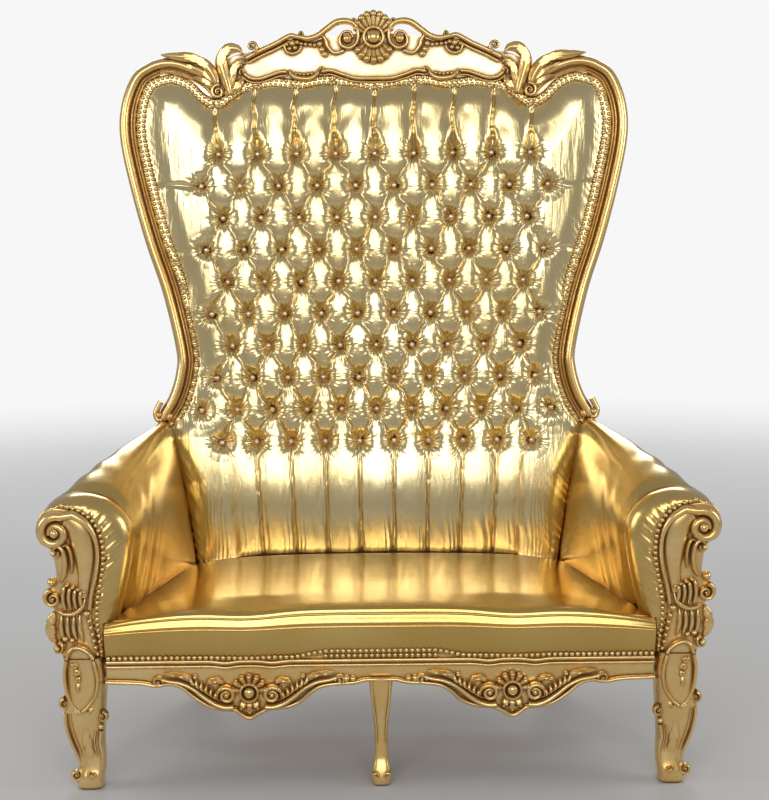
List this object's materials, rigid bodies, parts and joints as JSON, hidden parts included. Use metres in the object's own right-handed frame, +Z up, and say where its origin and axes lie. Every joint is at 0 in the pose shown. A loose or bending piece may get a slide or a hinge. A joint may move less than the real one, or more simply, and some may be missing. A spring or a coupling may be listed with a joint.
{
  "type": "two-seat throne",
  "caption": "Wide rococo throne with a carved and gilded frame, a deep-buttoned back, padded arms and a padded seat on carved legs.",
  "frame": {"origin": "on the floor, in the middle of the throne's width and depth", "axes": "+Z up, the throne faces -Y, +X runs to the right as seen from the front"},
  "size_m": [1.5422, 0.82, 1.7712],
  "materials": {
    "gilt_wood": "carved wood under satin antique gold",
    "gold_leatherette": "smooth metallic gold leatherette",
    "bare_wood": "plain planed wood"
  },
  "bodies": {
    "root": {"crest_rail": "gilt_wood", "back_stile_left": "gilt_wood", "back_stile_right": "gilt_wood", "back_pad": "gold_leatherette", "back_panel": "gold_leatherette", "arm_pad_left": "gold_leatherette", "arm_pad_right": "gold_leatherette", "arm_front_left": "gilt_wood", "arm_front_right": "gilt_wood", "front_leg_left": "gilt_wood", "front_leg_right": "gilt_wood", "middle_leg": "gilt_wood", "back_leg_left": "gilt_wood", "back_leg_right": "gilt_wood", "front_rail": "gilt_wood", "side_rail_left": "bare_wood", "side_rail_right": "bare_wood", "back_rail": "bare_wood", "seat_base": "bare_wood", "seat_pad": "gold_leatherette"}
  },
  "joints": []
}
